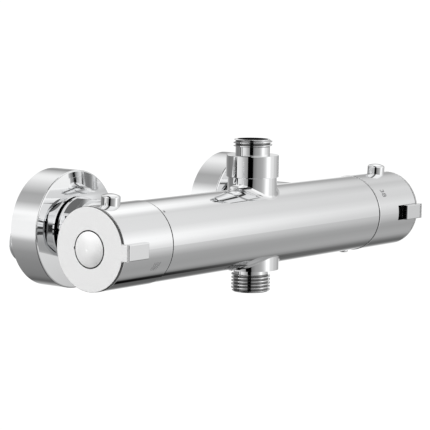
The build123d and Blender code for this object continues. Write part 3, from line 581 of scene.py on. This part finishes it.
near_end_bands = [
    (-180, 0.93), (-169, 0.83), (-155, 0.71), (-141, 0.61), (-117, 0.58), (-100, 0.59),
    (-93, 0.56), (-86, 0.46), (-80, 0.06), (-70, 0.02), (-66, 0.36), (-57, 0.36),
    (-43, 0.40), (-29, 0.68), (-15, 0.87), (-5, 0.78), (9, 0.64), (23, 0.53), (37, 0.78),
    (51, 0.92), (63, 0.99), (75, 0.97), (84, 0.87), (91, 0.83), (98, 0.85), (111, 0.85),
    (135, 0.86), (147, 0.91), (160, 0.97), (171, 0.97), (180, 0.93),
]
far_end_bands = [
    (-180, 0.81), (-169, 0.77), (-155, 0.70), (-141, 0.62), (-129, 0.60), (-105, 0.63),
    (-93, 0.61), (-80, 0.50), (-69, 0.40), (-57, 0.37), (-43, 0.56), (-29, 0.88),
    (-15, 0.97), (-5, 1.0), (9, 0.93), (23, 0.63), (37, 0.64), (51, 0.74), (63, 0.78),
    (75, 0.79), (87, 0.76), (99, 0.79), (111, 0.82), (135, 0.81), (147, 0.83), (160, 0.86),
    (171, 0.84), (180, 0.81),
]
wall_side = [
    (-180, 0.90), (-172, 0.84), (-152, 0.66), (-132, 0.55), (-112, 0.51), (-92, 0.49),
    (-72, 0.46), (-52, 0.33), (-32, 0.46), (-12, 0.54), (8, 0.70), (28, 0.78), (48, 0.93),
    (68, 0.91), (88, 0.80), (108, 0.64), (128, 0.68), (148, 0.96), (168, 1.0), (180, 0.90),
]
by_heading = [
    (-180, 0.69), (-170, 0.60), (-164.5, 0.58), (-163, 0.02), (-141, 0.02), (-138.5, 0.46),
    (-122, 0.58), (-110, 0.61), (-98, 0.66), (-86, 0.78), (-74, 1.0), (-58, 1.08),
    (-40, 1.06), (-26, 0.80), (-14, 0.70), (-2, 0.64), (8, 0.60), (22, 0.70), (46, 0.74),
    (58, 0.58), (94, 0.46), (128, 0.50), (129.5, 0.18), (134, 0.16), (135.5, 0.92),
    (140.8, 0.95), (142.3, 0.22), (145, 0.22), (146.5, 0.90), (166, 0.84), (180, 0.69),
]
far_end_edge = (0.755, 0.84)
wall_edge = (0.1, 0.5)
wall_band = ((-0.36, -0.13), (0.13, 0.36))
level_band = ((-0.30, -0.20), (0.06, 0.16))
boxes_edge = (0.35, 0.62)
boxes_end = (0.90, 0.96)
boxes_back = (0.35, 0.5)
card_height = ((0.57, 0.61), (0.74, 0.78))
card_width = ((0.22, 0.27), (0.44, 0.49))
card_depth = (0.54, 0.58)
card_tone = 0.42
beam_middle = -0.07
beam_edge = (0.13, 0.20)
beam_width = ((0.02, 0.10), (0.38, 0.46))
beam_back = (0.44, 0.56)
beam_end = (0.25, 0.40)
beam_fade = (0.5, 0.8)
beam_tones = (0.32, 0.03)
half_root = 0.707
soft_tone = (0.8, 0.8, 0.8, 1)
soft_strength = 0.25
world = bpy.data.worlds.new("studio")
bpy.context.scene.world = world
world.use_nodes = True
tree = world.node_tree
start = Socket(tree)
direction = start.node("ShaderNodeTexCoord", output="Generated")
along = direction.node("ShaderNodeSeparateXYZ", sockets={"Vector": direction})
depth, height = along.other("Y"), along.other("Z")
round_bar = start.maths("ARCTAN2", height, depth) * degrees(1)
round_wall = start.maths("ARCTAN2", height, along) * degrees(1)
heading = start.maths("ARCTAN2", depth, along) * degrees(1)
near_bands = tone_ramp(round_bar, near_end_bands)
far_bands = tone_ramp(round_bar, far_end_bands)
bands = along.eased(*far_end_edge).mixed(near_bands, far_bands)
horizon = tone_ramp(heading, by_heading)
by_wall = within(height, *wall_band).mixed(tone_ramp(round_wall, wall_side), horizon)
room = depth.eased(*wall_edge).mixed(horizon, by_wall)
off_level = 1 - within(height, *level_band)
hung = along.eased(*boxes_edge)
hung = hung + (1 - hung) * off_level * (1 - depth.eased(*boxes_back))
studio = (hung - along.eased(*boxes_end)).mixed(room, bands)
card = within(height, *card_height) * (depth * -1).eased(*card_depth)
card = card * within(along, *card_width)
studio = card.mixed(studio, lit(card_tone))
askew = (depth - along) * half_root
slope = start.maths("ABSOLUTE", height - beam_middle)
beam = slope.eased(*beam_edge) * within(askew, *beam_width)
beam = beam * (1 - depth.eased(*beam_back)) * (1 - along.eased(*beam_end))
beam_light = slope.eased(*beam_fade).mixed(lit(beam_tones[0]), lit(beam_tones[1]))
studio = beam.mixed(studio, beam_light)
camera_sees = start.node("ShaderNodeLightPath", output="Is Camera Ray")
mirror_sees = camera_sees.other("Is Glossy Ray")
soft = start.node(
    "ShaderNodeBackground", sockets={"Color": soft_tone, "Strength": soft_strength}
)
boxes = start.node("ShaderNodeBackground", sockets={"Color": studio, "Strength": 1.0})
white = start.node("ShaderNodeBackground", sockets={"Color": (1, 1, 1, 1), "Strength": 1.0})
shade = start.node("ShaderNodeMixShader", sockets={0: mirror_sees, 1: soft, 2: boxes})
shade = start.node("ShaderNodeMixShader", sockets={0: camera_sees, 1: shade, 2: white})
shade.into(tree.nodes["World Output"].inputs["Surface"])

# Soft lamp: one wide disc high up beyond the near end, which the plating doesn't mirror. It
# lights the satin discs and the domed caps from the upper left, as the camera sees them.
lamp_size = 1.2
lamp_power = 32.0
lamp_place = (-1.12, 0.53, 1.11)
lamp_aim = (0, -0.077, 0)
lamp_data = bpy.data.lights.new("soft_lamp", "AREA")
lamp_data.shape = "DISK"
lamp_data.size = lamp_size
lamp_data.energy = lamp_power
lamp = bpy.data.objects.new("soft_lamp", lamp_data)
lamp.location = lamp_place
lamp.rotation_euler = (Vector(lamp_aim) - lamp.location).to_track_quat("-Z", "Y").to_euler()
lamp.visible_glossy = False
bpy.context.scene.collection.objects.link(lamp)

# Camera: a long lens on the left of the bar and a little above it, turned about the vertical,
# tipped down and rolled a touch, in degrees, as the photograph's outline asks.
camera_heading = -52.546
camera_drop = 6.51
camera_roll = 0.898
camera_place = (-0.9259, -0.7615, 0.1473)
camera_sensor = 36.0
camera_lens = 180.59
camera_reach = 200.0
camera_data = bpy.data.cameras.new("camera")
camera_data.sensor_width = camera_sensor
camera_data.lens = camera_lens
camera_data.clip_end = camera_reach
camera = bpy.data.objects.new("camera", camera_data)
turned = Matrix.Rotation(radians(camera_heading), 4, "Z")
tipped = Matrix.Rotation(radians(90 - camera_drop), 4, "X")
rolled = Matrix.Rotation(radians(camera_roll), 4, "Z")
camera.matrix_world = Matrix.Translation(camera_place) @ (turned @ tipped) @ rolled
bpy.context.scene.collection.objects.link(camera)
bpy.context.scene.camera = camera
bpy.context.scene.view_settings.view_transform = "Standard"
